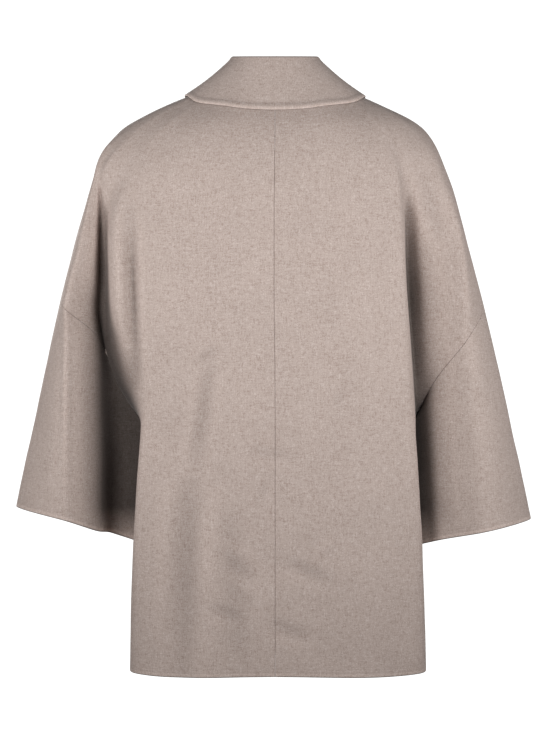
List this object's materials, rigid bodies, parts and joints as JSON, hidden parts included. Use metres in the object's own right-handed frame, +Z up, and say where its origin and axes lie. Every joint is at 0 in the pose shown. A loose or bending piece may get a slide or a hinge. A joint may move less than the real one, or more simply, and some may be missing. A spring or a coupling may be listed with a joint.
{
  "type": "cape coat",
  "caption": "Short hollow cape coat in its worn form, with wide three-quarter sleeves cut in one with the body and a turned-down collar.",
  "frame": {"origin": "middle of the neck at the height of the centre-back neck seam, where the coat hangs from the wearer's shoulders", "axes": "+Z up, +Y towards the back of the coat, +X towards the wearer's left"},
  "size_m": [0.6905, 0.2613, 0.8056],
  "materials": {
    "wool": "matt double-faced wool with a short brushed nap and a fine melange",
    "wool_collar": "the same wool, pressed flatter, with an edge stitched by hand"
  },
  "bodies": {
    "root": {"back_left": "wool", "back_right": "wool", "front_left": "wool", "front_right": "wool", "sleeve_left": "wool", "sleeve_right": "wool", "collar": "wool_collar"}
  },
  "joints": []
}
